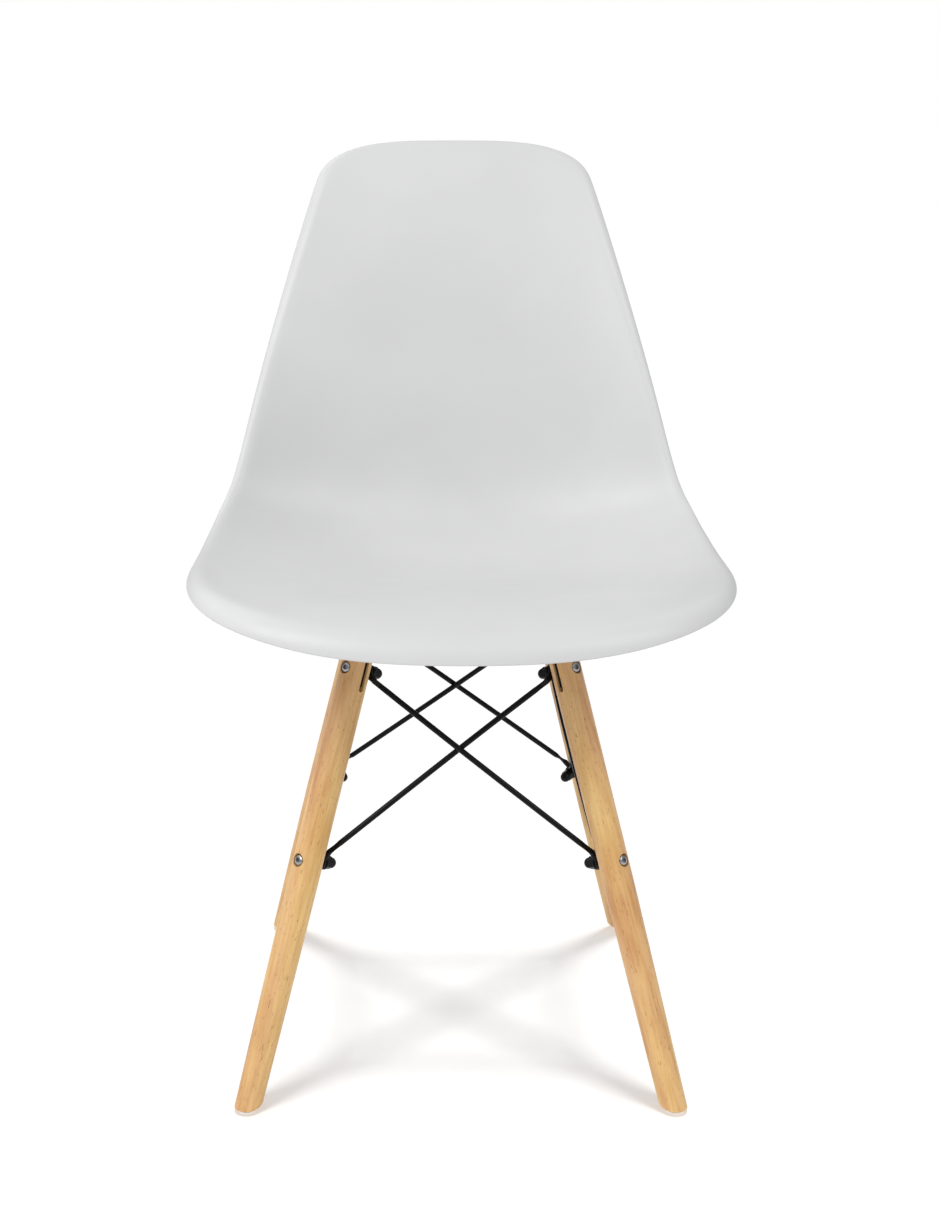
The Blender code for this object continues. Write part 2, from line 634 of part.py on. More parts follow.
def main():
    plastic = material("moulded_polypropylene", (0.72, 0.72, 0.72), 0.42)
    beech = material("beech", (0.62, 0.38, 0.19), 0.45)
    black_steel = material("black_steel", (0.012, 0.012, 0.014), 0.35, 0.6)
    zinc_steel = material("zinc_plated_steel", (0.60, 0.61, 0.63), 0.30, 1.0)
    nylon = material("white_nylon", (0.85, 0.84, 0.82), 0.45)
    rubber = material("rubber", (0.02, 0.02, 0.02), 0.80)
    brass = material("brass", (0.71, 0.53, 0.25), 0.35, 1.0)

    make_seat_shell(plastic)
    make_bar("crossbar_upper", *SIDES["back_right"], 0.0, black_steel)
    make_bar("crossbar_lower", *SIDES["front_right"], BAR_CROSSING, black_steel)

    crossing_low = BAR_TOP - BAR_THICKNESS - BAR_CROSSING
    screw = socket_screw_mesh("seat_screw", SCREW_HEAD_RADIUS, SCREW_HEAD_HEIGHT, SCREW_LENGTH)
    washer = ring_mesh("rubber_washer", WASHER_RADIUS, BOLT_HOLE_RADIUS, WASHER_HEIGHT)
    insert = ring_mesh("threaded_insert", INSERT_RADIUS, BOLT_HOLE_RADIUS, INSERT_LENGTH)
    middle = Matrix.Translation((0, BASE_Y, 0))
    lift = Matrix.Translation((0, 0, crossing_low - TOUCH))
    piece("centre_bolt", screw.copy(), black_steel, middle @ lift)
    on_bar = Matrix.Translation((0, 0, BAR_TOP + TOUCH))
    piece("centre_nut", hex_nut_mesh(), black_steel, middle @ on_bar)

    leg, glide, cap_nut = leg_mesh(), glide_mesh(), cap_nut_mesh()
    stack = LEG_RADIUS + 2 * (2 * EYE_HALF_THICKNESS + TOUCH) + TOUCH
    seat_of_head = LEG_RADIUS - COUNTERBORE_DEPTH + TOUCH
    bolt_length = seat_of_head + stack + NUT_BORE_DEPTH - BOLT_END_GAP
    bolt = socket_screw_mesh("leg_bolt", LEG_BOLT_HEAD_RADIUS, LEG_BOLT_HEAD_HEIGHT, bolt_length)
    inwards = Matrix.Rotation(-math.pi / 2, 4, "Y")
    for where, (side_x, side_y) in SIDES.items():
        frame = leg_frame(side_x, side_y)
        piece(f"leg_{where}", leg, beech, frame)
        foot = Matrix.Translation(frame.translation)
        piece(f"glide_{where}", glide, nylon, foot)
        for level, height in (("upper", UPPER_BOLT), ("lower", LOWER_BOLT)):
            head = Matrix.Translation((seat_of_head, 0, height)) @ inwards
            piece(f"leg_bolt_{level}_{where}", bolt, zinc_steel, frame @ head)
            bearing = Matrix.Translation((-stack, 0, height)) @ inwards
            piece(f"cap_nut_{level}_{where}", cap_nut, black_steel, frame @ bearing)
        fixing = Matrix.Translation((side_x * FIXING_SPREAD, BASE_Y + side_y * FIXING_SPREAD, 0))
        under_bar = Matrix.Translation((0, 0, BAR_TOP - BAR_THICKNESS - TOUCH))
        piece(f"seat_screw_{where}", screw, zinc_steel, fixing @ under_bar)
        piece(f"rubber_washer_{where}", washer, rubber, fixing @ on_bar)
        in_boss = Matrix.Translation((0, 0, BOSS_FACE + TOUCH))
        piece(f"threaded_insert_{where}", insert, brass, fixing @ in_boss)

    pairs = {
        "front": ("front_left", "front_right", 0),
        "back": ("back_left", "back_right", 0),
        "left": ("front_left", "back_left", 1),
        "right": ("front_right", "back_right", 1),
    }
    for face, (one, other, layer) in pairs.items():
        first, second = SIDES[one], SIDES[other]
        make_brace(f"brace_{face}_outer", first, second, layer, ROD_BOW, black_steel)
        make_brace(f"brace_{face}_inner", second, first, layer, -ROD_BOW, black_steel)


clear_scene()
CHAIR = new_collection("side_chair")
HELPERS = new_collection("cutters")
main()
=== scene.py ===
"""The looks of the side chair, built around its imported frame.

Metres, +Z up, with the front of the chair towards -Y, as in the frame. Every visible piece is a
finer version of one CAD node: it replaces that node and rides on the chair's only body.
"""

import json
import math

import bmesh
import bpy
import numpy as np
from mathutils import Matrix, Vector

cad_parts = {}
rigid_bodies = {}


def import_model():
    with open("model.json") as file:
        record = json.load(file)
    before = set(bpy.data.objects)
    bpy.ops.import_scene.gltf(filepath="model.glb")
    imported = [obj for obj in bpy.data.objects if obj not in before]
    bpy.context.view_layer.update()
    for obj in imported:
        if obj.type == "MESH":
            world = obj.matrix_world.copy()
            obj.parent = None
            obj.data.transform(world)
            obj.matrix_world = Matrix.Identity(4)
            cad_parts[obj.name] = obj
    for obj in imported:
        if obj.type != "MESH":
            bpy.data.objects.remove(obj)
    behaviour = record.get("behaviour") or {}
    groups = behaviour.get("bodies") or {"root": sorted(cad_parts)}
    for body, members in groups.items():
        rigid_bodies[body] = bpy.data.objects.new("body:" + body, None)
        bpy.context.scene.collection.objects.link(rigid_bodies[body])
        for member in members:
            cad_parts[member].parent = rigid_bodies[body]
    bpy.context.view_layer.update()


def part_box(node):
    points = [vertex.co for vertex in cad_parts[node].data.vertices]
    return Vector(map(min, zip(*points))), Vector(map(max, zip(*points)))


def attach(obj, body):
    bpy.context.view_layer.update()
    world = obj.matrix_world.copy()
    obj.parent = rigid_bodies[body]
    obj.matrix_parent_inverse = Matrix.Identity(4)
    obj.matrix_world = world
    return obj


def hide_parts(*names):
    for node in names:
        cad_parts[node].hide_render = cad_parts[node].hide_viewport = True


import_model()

CORNERS = {
    "front_left": (-1, -1),
    "front_right": (1, -1),
    "back_left": (-1, 1),
    "back_right": (1, 1),
}
TOUCH = 0.0003  # gap between pieces that bear on each other
OVERCUT = 0.002  # how far a cutter runs past the face that it starts from
CUT_REACH = 0.020  # half length of a cutter that passes right through a leg or a bar
MERGE = 0.00002  # points on the mirror plane join when closer than this
TINY = 1e-9  # two places closer than this are one
SMOOTH_ANGLE = math.radians(32)  # sharper edges than this are shaded as edges
EASE_ANGLE = math.radians(50)  # sharper edges than this are rounded, where a piece is eased
ROUND_SIDES = 64
ROD_SIDES = 24
HOLE_SIDES = 32
FILLET_STEPS = 4
SIDE_SHARE = 2.1  # a fillet takes a side's length over this at most, so that two never meet

# Seat shell, front edge first. The middle line is a cubic B-spline with few controls: (y, z).
SHELL_LINE = (
    (-0.265, 0.415),  # front edge
    (-0.215, 0.435),  # crest under the knees
    (-0.120, 0.430),
    (-0.020, 0.412),  # lowest part of the seat
    (0.080, 0.415),
    (0.135, 0.465),  # bend between seat and back
    (0.150, 0.555),
    (0.175, 0.665),
    (0.215, 0.775),
    (0.248, 0.820),
    (0.258, 0.825),  # top edge
)
# The sides stand above the middle line: most at the bend, and hardly at all at the two ends.
SIDE_RISE = 0.062  # at the bend, SHELL_REACH away from the middle
RISE_PEAK = 0.400  # the bend's distance from the front edge, along the middle
RISE_SEAT, RISE_BACK = 0.235, 0.290  # how far the rise spreads over the seat and up the back
SHELL_REACH = 0.235  # half width at which the sides reach their full rise
SHELL_DISH = 2.6  # power of the rise across the shell: flat in the middle, steep at the sides
SHELL_WALL = 0.005
# The outline laid flat: superellipse corners at both ends of sides that taper towards the top.
SEAT_HALF_WIDTH = 0.240
TAPER_START, TAPER_EASE = 0.390, 0.130  # along the middle: where the taper begins, and how softly
TAPER = 0.275  # half width lost per metre up the back
FRONT_CORNER, FRONT_POWER = 0.200, 2.6
TOP_CORNER, TOP_POWER = 0.060, 2.7
# The rim rolls outwards on these radii, through these degrees, evenly spaced from front to top.
RIM_RADII = (0.028, 0.026, 0.015, 0.015, 0.015, 0.015)
RIM_TURN = (62, 62, 62, 62, 60, 45)
RIM_EASE = 0.0014  # rounding of the rim's two edges
RIM_EASE_STEPS = 4
SPINE_START, SPINE_END = 0.20, 0.735  # stretch of the middle that the shell's ribs start from
LINE_STEPS = 60  # samples on each span of the middle line
SHELL_RIBS = 210  # evenly spaced along half of the outline
OUTLINE_SAMPLES = 1000  # points on each stretch of the outline, before it is spaced evenly
DISH_RINGS, RIM_RINGS = 40, 6

# Legs, which lean inwards along the diagonals. Lengths are up the leg's axis from the floor.
FOOT_SPREAD = 0.181  # each leg's axis to the base's middle planes, at the floor
TOP_SPREAD = 0.0805  # the same, at SPREAD_HEIGHT
SPREAD_HEIGHT = 0.400
LEAN = math.atan(math.sqrt(2) * (FOOT_SPREAD - TOP_SPREAD) / SPREAD_HEIGHT)
LEG_TOP = 0.383 / math.cos(LEAN)
UPPER_BOLT = 0.3622 / math.cos(LEAN)
LOWER_BOLT = 0.204 / math.cos(LEAN)
LEG_RADIUS = 0.013
FOOT_RADIUS = 0.0112
TAPER_END = 0.200  # upper end of the leg's taper
TAPER_POWER = 1.3
LEG_ROWS = 24
LEG_CHAMFER = 0.0012
LEG_STOCK_END = -0.010  # lower end of the turned leg, before its foot is sawn level
FOOT_CUT = 0.003  # height of the leg's level end above the floor
FOOT_FLAT_RADIUS = 0.0096
SAW_RADIUS = 0.030
SAW_FLARE = 0.010  # rise and run of the foot's chamfer
FOOT_FILLET = 0.0016
KERF_WIDTH = 0.0046
KERF_DEPTH = 0.040
COUNTERBORE_RADIUS = 0.0058
COUNTERBORE_DEPTH = 0.0045
BOLT_RADIUS = 0.003
BOLT_HOLE_RADIUS = 0.0033

GLIDE_RADIUS = 0.0070
GLIDE_FLAT_RADIUS = 0.0052
GLIDE_EDGE_HEIGHT = 0.0010
GLIDE_PIN_RADIUS = 0.0018
GLIDE_PIN_TOP = 0.016
GLIDE_POINT = 0.002  # length of the pin's tapered tip
GLIDE_FILLET = 0.0005

BAR_WIDTH = 0.022
BAR_THICKNESS = 0.004
BAR_TOP = 0.3964
BAR_BEND = 0.007  # radius of the bend, at the middle of the bar's thickness
BAR_BEND_STEPS = 14
BAR_CROSSING = BAR_THICKNESS + TOUCH  # how far the lower bar is cranked down at the middle
BAR_EDGE = 0.0006  # rounding of the bar's edges
BAR_EDGE_STEPS = 3
CRANK_FLAT, CRANK_END = 0.017, 0.028  # from the middle: where the crank starts and ends
CRANK_STEPS = 8
TONGUE_GAP = 0.004  # room under a bar's end in its kerf
TONGUE_END = LEG_TOP - KERF_DEPTH + TONGUE_GAP

FIXING_SPREAD = 0.055  # each boss to the base's middle planes
WASHER_RADIUS = 0.011
WASHER_HEIGHT = 0.003
RING_FILLET = 0.0004
BOSS_FACE = BAR_TOP + TOUCH + WASHER_HEIGHT + TOUCH
BOSS_RADIUS = 0.012
BOSS_FLARE = 0.005  # fillet between a boss and the shell
BOSS_FLARE_STEPS = 8
BOSS_FILLET = 0.0008
INSERT_RADIUS = 0.0045
INSERT_LENGTH = 0.0080
INSERT_HOLE_DEPTH = 0.0085
SCREW_LENGTH = 0.0145
SCREW_HEAD = (0.0052, 0.0034)  # radius and height
LEG_BOLT_HEAD = (0.0050, 0.0036)
SOCKET_RADIUS = 0.0023  # to the corners of the hexagon socket
SOCKET_DEPTH = 0.0020
BUTTON_HEAD = ((1, 0.45), (0.82, 0.86), (0.52, 1))  # its corners, as shares of radius and height
SCREW_FILLET = 0.0007

ROD_RADIUS = 0.0025
EYE_RADIUS = 0.0064
EYE_HALF_THICKNESS = 0.0015
EYE_HOLE_RADIUS = 0.0033
EYE_CREST = 0.92 * EYE_HALF_THICKNESS  # half depth of the finer eye, whose sections are rounded
EYE_SQUARE = 4.5  # power of the eye's section: 2 is an ellipse, and more is squarer
EYE_ANGLES = (176, 168, 156, 144, 130, 115, 100, 85, 70, 58)  # sections, in degrees from the neck
NECK_LENGTH = 0.0125  # from the hole to where the rod is round
NECK_BEND = 0.0016  # how far the rod starts off the flat of its eye
NECK_STEPS = 7
ROD_BOW = ROD_RADIUS + 0.5 * TOUCH  # how far each rod of a pair stands off at the crossing
ROD_STEPS = 20

NUT_HEX_RADIUS = 0.0058  # to the corners
NUT_HEX_HEIGHT = 0.0060
NUT_CHAMFER = 0.0007  # height of the chamfer at each end
NUT_FACE_RADIUS = 0.90 * NUT_HEX_RADIUS  # where the chamfer meets the face
NUT_DOME_RADIUS = 0.0048
NUT_DOME_BASE = 0.0070  # height of the dome's widest ring
NUT_DOME_STEPS = 10
NUT_BORE_DEPTH = 0.0090
BOLT_END_GAP = 0.001  # between a leg bolt's tip and the end of its nut's bore

# The middle of each glide's box in the frame, and the floor's point between all four.
FEET = {where: sum(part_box(f"glide_{where}"), Vector()) / 2 for where in CORNERS}
BASE = sum(FEET.values(), Vector()) / 4
BASE.z = 0


# ---------------------------------------------------------------- mesh helpers


def mesh_from(bm, name):
    mesh = bpy.data.meshes.new(name)
    bm.to_mesh(mesh)
    bm.free()
    return mesh


def temporary(name, mesh, placed=Matrix()):
    """An object that is there only while a mesh is being made."""
    made = bpy.data.objects.new(name, mesh)
    made.matrix_world = placed
    bpy.context.scene.collection.objects.link(made)
    return made


def evaluated(obj):
    """The object's mesh with its modifiers applied."""
    bpy.context.view_layer.update()
    graph = bpy.context.evaluated_depsgraph_get()
    return bpy.data.meshes.new_from_object(obj.evaluated_get(graph))


def eased(obj, name, width, steps):
    """Gives an object a Bevel modifier that rounds its sharp edges."""
    ease = obj.modifiers.new(name, "BEVEL")
    ease.width = width
    ease.segments = steps
    ease.limit_method = "ANGLE"
    ease.angle_limit = EASE_ANGLE


def cut(mesh, tools):
    """The mesh after Booleans with tools, a list of (operation, mesh, placing)."""
    body = temporary("body", mesh)
    used = []
    for operation, tool_mesh, placed in tools:
        tool = temporary("tool", tool_mesh, placed)
        modifier = body.modifiers.new(operation, "BOOLEAN")
        modifier.operation = operation
        modifier.object = tool
        used.append(tool)
    result = evaluated(body)
    for obj in (body, *used):
        bpy.data.objects.remove(obj)
    return result


def rounded(corners, radius):
    """The corners of a profile with each inner one eased by a short curve."""
    corners = [Vector(corner) for corner in corners]
    path = [corners[0]]
    for before, corner, after in zip(corners, corners[1:], corners[2:]):
        back, on = before - corner, after - corner
        reach = min(radius, back.length / SIDE_SHARE, on.length / SIDE_SHARE)
        start, end = corner + back.normalized() * reach, corner + on.normalized() * reach
        for step in range(FILLET_STEPS + 1):
            t = step / FILLET_STEPS
            path.append((1 - t) ** 2 * start + 2 * t * (1 - t) * corner + t**2 * end)
    return [*path, corners[-1]]


def turned(profile, sides=ROUND_SIDES):
    """A solid turned about Z from a profile of (radius, height), which runs from top to bottom."""
    bm = bmesh.new()
    closed = (Vector(profile[0]) - Vector(profile[-1])).length < TINY
    rings = []
    for radius, height in profile[: -1 if closed else None]:
        count = sides if radius > TINY else 1
        angles = [2 * math.pi * side / sides for side in range(count)]
        rings.append(
            [bm.verts.new((radius * math.cos(a), radius * math.sin(a), height)) for a in angles]
        )
    if closed:
        rings.append(rings[0])
    for upper, lower in zip(rings, rings[1:]):
        for side in range(sides):
            after = (side + 1) % sides
            corners = (
                upper[side % len(upper)],
                lower[side % len(lower)],
                lower[after % len(lower)],
                upper[after % len(upper)],
            )
            face = list(dict.fromkeys(corners))
            if len(face) > 2:
                bm.faces.new(face)
    return mesh_from(bm, "turned")


def cylinder(radius, low, high, sides=ROUND_SIDES):
    return turned(((0, high), (radius, high), (radius, low), (0, low)), sides)


def block(low, high):
    low, high = Vector(low), Vector(high)
    bm = bmesh.new()
    scale = Matrix.Diagonal((*(high - low), 1))
    bmesh.ops.create_cube(bm, size=1, matrix=Matrix.Translation((low + high) / 2) @ scale)
    return mesh_from(bm, "block")


def along_x(height):
    """A placing whose +Z lies along +X, at a height."""
    return Matrix.Translation((0, 0, height)) @ Matrix.Rotation(math.pi / 2, 4, "Y")


def joined(meshes):
    bm = bmesh.new()
    for mesh in meshes:
        bm.from_mesh(mesh)
    return mesh_from(bm, "joined")


def lofted(sections):
    """A solid through sections of (middle, width direction, depth direction, half width, half depth,
    power), with a flat face at each end."""
    bm = bmesh.new()
    rings = []
    for at, width, depth, half_width, half_depth, power in sections:
        ring = []
        for side in range(ROD_SIDES):
            angle = 2 * math.pi * (side + 0.5) / ROD_SIDES
            c, s = math.cos(angle), math.sin(angle)
            across = math.copysign(abs(c) ** (2 / power), c) * half_width
            up = math.copysign(abs(s) ** (2 / power), s) * half_depth
            ring.append(bm.verts.new(at + width * across + depth * up))
        rings.append(ring)
    for near, far in zip(rings, rings[1:]):
        for side in range(ROD_SIDES):
            after = (side + 1) % ROD_SIDES
            bm.faces.new((near[side], near[after], far[after], far[side]))
    bm.faces.new(rings[0][::-1])
    bm.faces.new(rings[-1])
    bmesh.ops.recalc_face_normals(bm, faces=bm.faces)
    return mesh_from(bm, "lofted")


def smooth(share):
    """A share from 0 to 1, eased at both ends."""
    return share * share * (3 - 2 * share)


def fine_piece(node_name, mesh, material, placed=Matrix()):
    """Puts a mesh in place of a CAD node, in the row frame, on the chair's only body."""
    mesh = mesh.copy()
    mesh.transform(placed)
    mesh.name = f"fine_{node_name}"
    mesh.shade_smooth()
    mesh.set_sharp_from_angle(angle=SMOOTH_ANGLE)
    mesh.materials.clear()
    mesh.materials.append(material)
    made = bpy.data.objects.new(f"fine_{node_name}", mesh)
    bpy.context.scene.collection.objects.link(made)
    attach(made, "root")
    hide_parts(node_name)


# ---------------------------------------------------------------- materials

NOISE_LOW, NOISE_HIGH = 0.3, 0.7  # most of a noise lies between these
# Colours, as linear light.
PLASTIC_DEEP = (0.600, 0.602, 0.604, 1)
PLASTIC_PALE = (0.622, 0.624, 0.625, 1)
COAT_BLACK = (0.004, 0.004, 0.0045, 1)
COAT_WORN = (0.012, 0.012, 0.013, 1)
ZINC_DULL = (0.26, 0.27, 0.28, 1)
ZINC_CLEAR = (0.54, 0.54, 0.55, 1)
NYLON_CLEAN = (0.86, 0.85, 0.82, 1)
NYLON_SCUFFED = (0.62, 0.60, 0.56, 1)
RUBBER_CLEAN = (0.014, 0.014, 0.014, 1)
RUBBER_DUSTY = (0.045, 0.044, 0.043, 1)
BRASS_TARNISHED = (0.55, 0.38, 0.15, 1)
BRASS_CLEAN = (0.80, 0.62, 0.30, 1)
HONEY = (0.750, 0.505, 0.205, 1)
PEACH = (0.730, 0.455, 0.220, 1)
DEEP_HONEY = (0.560, 0.300, 0.090, 1)
DEEP_PEACH = (0.520, 0.255, 0.110, 1)
FLECK = (0.300, 0.130, 0.045, 1)
RING_SPACING = 0.0036  # between growth rings
RING_WANDER = 9.0  # in radians: how far the noise pushes the rings about
RING_CONE = 0.045  # how fast the rings widen along the grain


def node(tree, kind, inputs=None, **settings):
    """A new shader node. An input is a value, or a socket to link from."""
    made = tree.nodes.new(kind)
    for name, value in settings.items():
        setattr(made, name, value)
    for name, value in (inputs or {}).items():
        if isinstance(value, bpy.types.NodeSocket):
            tree.links.new(value, made.inputs[name])
        else:
            made.inputs[name].default_value = value
    return made


def new_material(name, **constants):
    """A material and its Principled shader, with constants set on the shader's own sockets."""
    made = bpy.data.materials.new(name)
    made.use_nodes = True
    shader = made.node_tree.nodes["Principled BSDF"]
    for socket, value in constants.items():
        shader.inputs[socket.replace("_", " ")].default_value = value
    return made, made.node_tree, shader


def scaled(tree, vector, scale):
    """A vector with each part multiplied by its own scale."""
    return node(tree, "ShaderNodeVectorMath", {0: vector, 1: scale}, operation="MULTIPLY").outputs[0]


def noise(tree, vector, scale, detail, roughness=0.5):
    """Noise from 0 to 1. Its largest blobs are about 1 / scale across, in the vector's units."""
    sockets = {"Vector": vector, "Scale": scale, "Detail": detail, "Roughness": roughness}
    return node(tree, "ShaderNodeTexNoise", sockets).outputs["Fac"]


def ranged(tree, value, low, high, to_low, to_high):
    """The value moved from one range to another, and held within it."""
    sockets = {0: value, 1: low, 2: high, 3: to_low, 4: to_high}
    return node(tree, "ShaderNodeMapRange", sockets).outputs[0]


def blended(tree, share, one, other):
    """A colour between two others."""
    made = node(tree, "ShaderNodeMix", data_type="RGBA")
    for socket, value in ((made.inputs[0], share), (made.inputs[6], one), (made.inputs[7], other)):
        if isinstance(value, bpy.types.NodeSocket):
            tree.links.new(value, socket)
        else:
            socket.default_value = value
    return made.outputs[2]


def combined(tree, operation, one, other):
    """Two values put through a Math node."""
    return node(tree, "ShaderNodeMath", {0: one, 1: other}, operation=operation).outputs[0]


def rough(tree, shader, value, low, high):
    """Links a roughness that runs from low to high over the range where most noise lies."""
    roughness = ranged(tree, value, NOISE_LOW, NOISE_HIGH, low, high)
    tree.links.new(roughness, shader.inputs["Roughness"])


def bump(tree, shader, height, distance, strength):
    """Gives the shader a relief, whose height of 1 stands for a distance in metres."""
    made = node(tree, "ShaderNodeBump", {"Height": height, "Distance": distance, "Strength": strength})
    tree.links.new(made.outputs["Normal"], shader.inputs["Normal"])


def place(tree):
    """Each point's place in the chair's frame, in metres."""
    return node(tree, "ShaderNodeTexCoord").outputs["Object"]


def moulded_plastic():
    """Light grey polypropylene: satin, with a fine spark-eroded grain and very soft mottling."""
    made, tree, shader = new_material("moulded_plastic", Specular_IOR_Level=0.42)
    at = place(tree)
    cloud = ranged(tree, noise(tree, at, 9.0, 2.0), 0.35, 0.65, 0.0, 1.0)
    colour = blended(tree, cloud, PLASTIC_DEEP, PLASTIC_PALE)
    tree.links.new(colour, shader.inputs["Base Color"])
    grain = noise(tree, at, 1500.0, 2.0, 0.6)
    rub = noise(tree, at, 38.0, 4.0)
    gloss = ranged(tree, combined(tree, "ADD", rub, grain), 0.7, 1.3, 0.36, 0.46)
    tree.links.new(gloss, shader.inputs["Roughness"])
    bump(tree, shader, grain, 0.00006, 0.5)
    return made


def beech():
    """Turned beech under clear lacquer: growth rings, fine streaks, dark flecks and warm blotches.

    The mesh's grain attribute holds each point's place in the plank, with the grain along Z.
    """
    made, tree, shader = new_material(
        "beech", Specular_IOR_Level=0.30, Coat_Weight=0.08, Coat_Roughness=0.22
    )
    at = node(tree, "ShaderNodeAttribute", attribute_name="grain").outputs["Vector"]
    bend = noise(tree, scaled(tree, at, (14, 14, 3.0)), 1.0, 2.0)
    across = scaled(tree, at, (1, 1, RING_CONE))
    radius = node(tree, "ShaderNodeVectorMath", {0: across}, operation="LENGTH")
    rings = combined(tree, "MULTIPLY", radius.outputs["Value"], 2 * math.pi / RING_SPACING)
    rings = combined(tree, "ADD", rings, combined(tree, "MULTIPLY", bend, RING_WANDER))
    ring = combined(tree, "SINE", rings, 0.0)
    ring = ranged(tree, ring, -0.4, 1.0, 0.0, 1.0)

    streak = noise(tree, scaled(tree, at, (460, 460, 28)), 1.0, 4.0, 0.6)
    blotch = noise(tree, scaled(tree, at, (34, 34, 11)), 1.0, 3.0)
    hue = noise(tree, scaled(tree, at, (60, 60, 5)), 1.0, 2.0)
    rosy = ranged(tree, hue, 0.35, 0.65, 0, 1)
    pale = blended(tree, rosy, HONEY, PEACH)
    deep = blended(tree, rosy, DEEP_HONEY, DEEP_PEACH)
    share = combined(tree, "MULTIPLY", ring, 0.22)
    share = combined(tree, "ADD", share, ranged(tree, streak, 0.38, 0.70, 0.0, 0.46))
    share = combined(tree, "ADD", share, ranged(tree, blotch, 0.42, 0.72, 0.0, 0.75))
    wood = blended(tree, share, pale, deep)

    fleck = noise(tree, scaled(tree, at, (900, 900, 190)), 1.0, 1.0)
    fleck = ranged(tree, fleck, 0.66, 0.72, 0.0, 0.60)
    wood = blended(tree, fleck, wood, FLECK)
    tree.links.new(wood, shader.inputs["Base Color"])

    rough(tree, shader, streak, 0.34, 0.48)
    relief = combined(tree, "SUBTRACT", combined(tree, "MULTIPLY", streak, 0.6), fleck)
    bump(tree, shader, relief, 0.00012, 0.6)
    return made


def powder_coat():
    """Semi-gloss black powder coat with slight orange peel and paler, duller patches."""
    made, tree, shader = new_material("powder_coat", Specular_IOR_Level=0.14)
    at = place(tree)
    peel = noise(tree, at, 900.0, 2.0)
    wear = noise(tree, at, 120.0, 5.0, 0.65)
    colour = blended(tree, ranged(tree, wear, 0.55, 0.8, 0, 1), COAT_BLACK, COAT_WORN)
    tree.links.new(colour, shader.inputs["Base Color"])
    rough(tree, shader, wear, 0.22, 0.36)
    bump(tree, shader, peel, 0.00008, 0.6)
    return made


def zinc_plate():
    """Zinc plate, dulled by a cloudy passivated film, with fine handling marks."""
    made, tree, shader = new_material("zinc_plate", Metallic=1.0)
    at = place(tree)
    cloud = noise(tree, at, 420.0, 4.0, 0.6)
    colour = blended(tree, cloud, ZINC_DULL, ZINC_CLEAR)
    tree.links.new(colour, shader.inputs["Base Color"])
    mark = noise(tree, scaled(tree, at, (5200, 5200, 900)), 1.0, 2.0)
    rough(tree, shader, mark, 0.16, 0.36)
    bump(tree, shader, mark, 0.00003, 0.5)
    return made


def white_nylon():
    """White moulded nylon, slightly yellowed and scuffed."""
    made, tree, shader = new_material(
        "white_nylon", Subsurface_Weight=0.1, Subsurface_Radius=(0.002, 0.0018, 0.0015)
    )
    at = place(tree)
    scuff = noise(tree, at, 700.0, 5.0, 0.7)
    colour = blended(tree, ranged(tree, scuff, 0.5, 0.75, 0, 1), NYLON_CLEAN, NYLON_SCUFFED)
    tree.links.new(colour, shader.inputs["Base Color"])
    rough(tree, shader, scuff, 0.35, 0.55)
    bump(tree, shader, scuff, 0.00005, 0.5)
    return made


def matt_rubber():
    """Black rubber with a trace of dust."""
    made, tree, shader = new_material("matt_rubber", Specular_IOR_Level=0.3)
    at = place(tree)
    dust = noise(tree, at, 500.0, 4.0, 0.6)
    colour = blended(tree, dust, RUBBER_CLEAN, RUBBER_DUSTY)
    tree.links.new(colour, shader.inputs["Base Color"])
    rough(tree, shader, dust, 0.7, 0.9)
    bump(tree, shader, dust, 0.0001, 0.6)
    return made


def turned_brass():
    """Brass with turning lines and a little tarnish."""
    made, tree, shader = new_material("turned_brass", Metallic=1.0)
    at = place(tree)
    tarnish = noise(tree, at, 300.0, 4.0)
    colour = blended(tree, tarnish, BRASS_TARNISHED, BRASS_CLEAN)
    tree.links.new(colour, shader.inputs["Base Color"])
    line = noise(tree, scaled(tree, at, (60, 60, 6000)), 1.0, 2.0)
    rough(tree, shader, line, 0.2, 0.4)
    bump(tree, shader, line, 0.00003, 0.5)
    return made


# ---------------------------------------------------------------- seat shell


def b_spline(controls, per_span):
    """Points on a uniform cubic B-spline that starts and ends at its end controls."""
    controls = np.array(controls, float)
    before, after = 2 * controls[0] - controls[1], 2 * controls[-1] - controls[-2]
    controls = np.vstack([before, controls, after])
    spans = len(controls) - 3
    at = np.linspace(0, spans, spans * per_span + 1)
    first = np.minimum(at.astype(int), spans - 1)
    f = (at - first)[:, None]
    a, b, c, d = (controls[first + k] for k in range(4))
    weights = (1 - f) ** 3, 3 * f**3 - 6 * f**2 + 4, -3 * f**3 + 3 * f**2 + 3 * f + 1, f**3
    return (weights[0] * a + weights[1] * b + weights[2] * c + weights[3] * d) / 6


